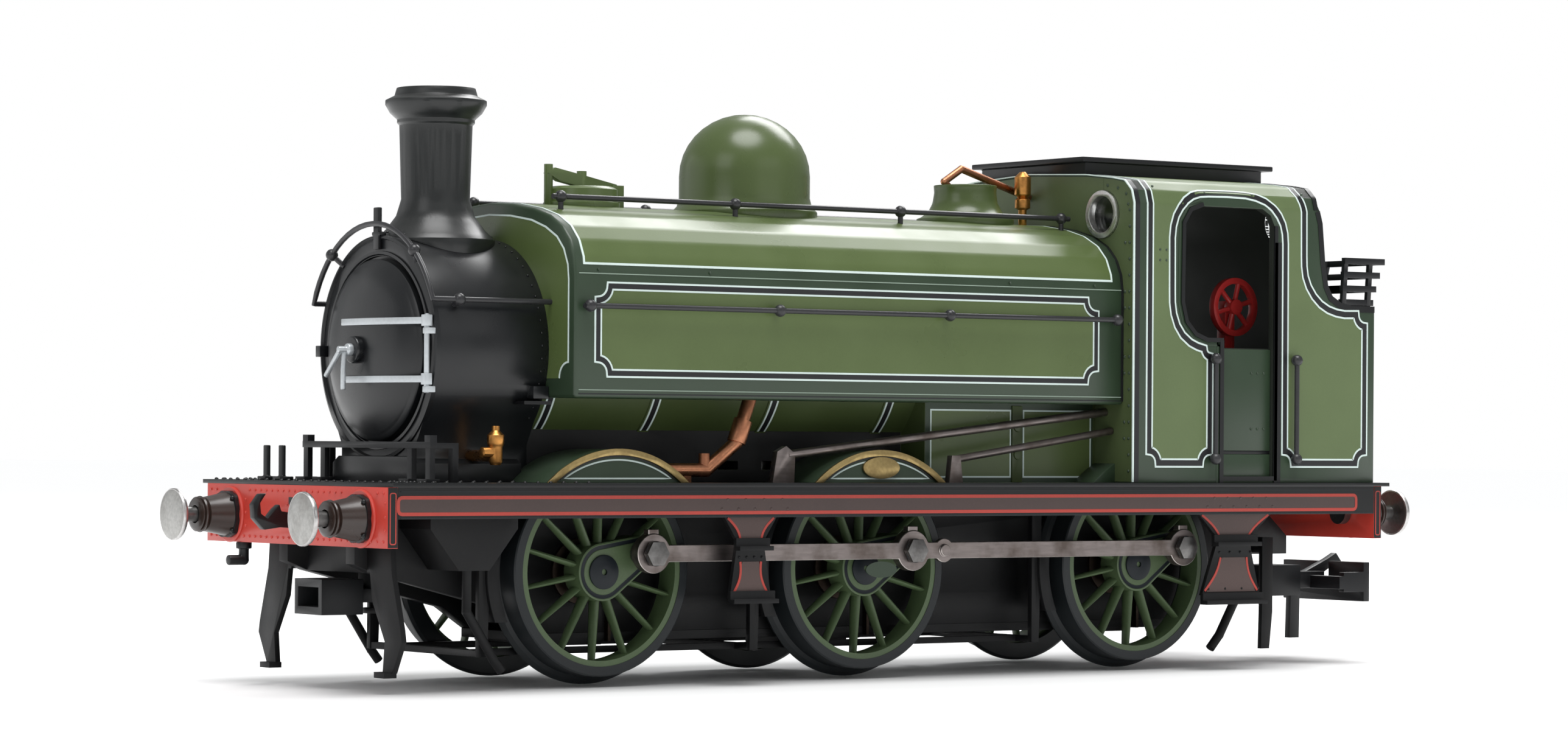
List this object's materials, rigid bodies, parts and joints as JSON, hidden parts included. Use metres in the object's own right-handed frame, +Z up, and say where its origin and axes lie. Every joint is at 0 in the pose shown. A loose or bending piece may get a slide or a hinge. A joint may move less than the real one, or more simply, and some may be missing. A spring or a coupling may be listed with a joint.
{
  "type": "model steam locomotive",
  "caption": "Small-scale saddle tank steam locomotive with three coupled axles, turning wheels and coupling rods, sprung buffers, an open-sided cab and a hooked rear coupling.",
  "frame": {"origin": "centre of the bounding box at the bottom of the wheel flanges", "axes": "+X towards the rear (cab and bunker end), so the chimney end is at -X; +Y to the right-hand side when facing forward, so the side with the left-hand rods is at -Y; +Z up"},
  "size_m": [0.1298, 0.0332, 0.0527],
  "materials": {
    "frame_black": "satin black die-cast frame",
    "black_plastic": "matt black moulding",
    "brass_bush": "plain brass",
    "motor_steel": "plated steel can",
    "phosphor_bronze": "springy bronze strip",
    "ballast_iron": "bare cast weight",
    "valance_brown": "dark brown valance with red lining, black top",
    "beam_red": "satin red",
    "housing_brown": "weathered brown black",
    "steel_bright": "turned steel",
    "smokebox_black": "matt black",
    "boiler_green": "satin green with white and black bands",
    "tank_green": "satin green with darker border and lining",
    "copper": "bare copper",
    "brass": "polished brass",
    "clear": "clear glazing",
    "wheel_green": "satin green",
    "tyre_dark": "darkened steel tyre",
    "pin_steel": "dull steel",
    "rod_steel": "weathered grey brown steel",
    "nylon_gear": "off-white nylon",
    "step_brown": "brown grey with red lining",
    "wheel_red": "satin red",
    "dark_steel": "dark grey steel"
  },
  "bodies": {
    "chassis": {"chassis_frame": "frame_black", "keeper_plate": "black_plastic", "axle_bearings": "brass_bush", "motor_can": "motor_steel", "wheel_pickups": "phosphor_bronze", "ballast": "ballast_iron", "footplate": "valance_brown", "front_buffer_beam": "beam_red", "rear_buffer_beam": "beam_red", "buffer_housings": "housing_brown", "beam_fittings": "black_plastic", "front_rail": "black_plastic", "smokebox": "smokebox_black", "smokebox_door": "smokebox_black", "door_furniture": "dark_steel", "chimney": "smokebox_black", "boiler": "boiler_green", "saddle_tank": "tank_green", "dome": "tank_green", "tank_filler": "black_plastic", "safety_valve_cover": "tank_green", "brass_fittings": "brass", "copper_pipes": "copper", "reach_rods": "dark_steel", "cab_body": "tank_green", "spectacle_rims": "brass", "cab_glazing": "clear", "cab_backhead": "smokebox_black", "roof_ventilator": "black_plastic", "brake_wheel": "wheel_red", "coal_rails": "black_plastic", "handrails": "dark_steel", "splashers": "tank_green", "splasher_brasswork": "brass", "steps": "step_brown", "guard_irons": "housing_brown", "brake_gear": "black_plastic", "sand_gear": "black_plastic"},
    "leading_wheelset": {"leading_axle": "pin_steel", "leading_wheels": "wheel_green", "leading_tyres": "tyre_dark"},
    "driving_wheelset": {"driving_axle": "pin_steel", "driving_wheels": "wheel_green", "driving_tyres": "tyre_dark", "worm_wheel": "nylon_gear"},
    "trailing_wheelset": {"trailing_axle": "pin_steel", "trailing_wheels": "wheel_green", "trailing_tyres": "tyre_dark"},
    "left_rods": {"left_coupling_rods": "rod_steel"},
    "right_rods": {"right_coupling_rods": "rod_steel"},
    "worm_shaft": {"worm": "brass_bush", "motor_shaft": "steel_bright"},
    "front_left_buffer_body": {"front_left_buffer": "steel_bright"},
    "front_right_buffer_body": {"front_right_buffer": "steel_bright"},
    "rear_left_buffer_body": {"rear_left_buffer": "steel_bright"},
    "rear_right_buffer_body": {"rear_right_buffer": "steel_bright"},
    "front_coupler": {"front_coupler_pocket": "black_plastic"},
    "rear_coupler": {"rear_coupler_pocket": "black_plastic", "rear_coupling_bar": "black_plastic"},
    "rear_hook": {"rear_coupling_hook": "dark_steel"}
  },
  "joints": [
    {"name": "driving_wheel_spin", "type": "hinge", "parent": "chassis", "child": "driving_wheelset", "pos_m": [-0.00462, 0, 0.01], "axis": [0, 1, 0], "continuous": true},
    {"name": "leading_wheel_spin", "type": "hinge", "parent": "chassis", "child": "leading_wheelset", "pos_m": [-0.03363, 0, 0.01], "axis": [0, 1, 0], "continuous": true},
    {"name": "trailing_wheel_spin", "type": "hinge", "parent": "chassis", "child": "trailing_wheelset", "pos_m": [0.02838, 0, 0.01], "axis": [0, 1, 0], "continuous": true},
    {"name": "left_rod_pivot", "type": "hinge", "parent": "driving_wheelset", "child": "left_rods", "pos_m": [-0.00076, -0.0124, 0.01164], "axis": [0, 1, 0], "continuous": true},
    {"name": "right_rod_pivot", "type": "hinge", "parent": "driving_wheelset", "child": "right_rods", "pos_m": [-0.00627, 0.0124, 0.01387], "axis": [0, 1, 0], "continuous": true},
    {"name": "worm_spin", "type": "hinge", "parent": "chassis", "child": "worm_shaft", "pos_m": [-0.00462, 0, 0.0178], "axis": [1, 0, 0], "continuous": true},
    {"name": "front_left_buffer_slide", "type": "slide", "parent": "chassis", "child": "front_left_buffer_body", "axis": [1, 0, 0], "range_m": [0, 0.0014], "stiffness_N_per_m": 250},
    {"name": "front_right_buffer_slide", "type": "slide", "parent": "chassis", "child": "front_right_buffer_body", "axis": [1, 0, 0], "range_m": [0, 0.0014], "stiffness_N_per_m": 250},
    {"name": "rear_left_buffer_slide", "type": "slide", "parent": "chassis", "child": "rear_left_buffer_body", "axis": [-1, 0, 0], "range_m": [0, 0.0014], "stiffness_N_per_m": 250},
    {"name": "rear_right_buffer_slide", "type": "slide", "parent": "chassis", "child": "rear_right_buffer_body", "axis": [-1, 0, 0], "range_m": [0, 0.0014], "stiffness_N_per_m": 250},
    {"name": "front_coupler_swing", "type": "hinge", "parent": "chassis", "child": "front_coupler", "pos_m": [-0.05063, 0, 0.0077], "axis": [0, 0, 1], "range_deg": [-8, 8]},
    {"name": "rear_coupler_swing", "type": "hinge", "parent": "chassis", "child": "rear_coupler", "pos_m": [0.04738, 0, 0.0077], "axis": [0, 0, 1], "range_deg": [-8, 8]},
    {"name": "rear_hook_lift", "type": "hinge", "parent": "rear_coupler", "child": "rear_hook", "pos_m": [0.05867, 0, 0.0079], "axis": [0, -1, 0], "range_deg": [0, 25]}
  ],
  "couplings": [
    {"joint": "leading_wheel_spin", "follows": "driving_wheel_spin", "ratio": 1},
    {"joint": "trailing_wheel_spin", "follows": "driving_wheel_spin", "ratio": 1},
    {"joint": "left_rod_pivot", "follows": "driving_wheel_spin", "ratio": -1},
    {"joint": "right_rod_pivot", "follows": "driving_wheel_spin", "ratio": -1},
    {"joint": "worm_spin", "follows": "driving_wheel_spin", "ratio": -30}
  ]
}
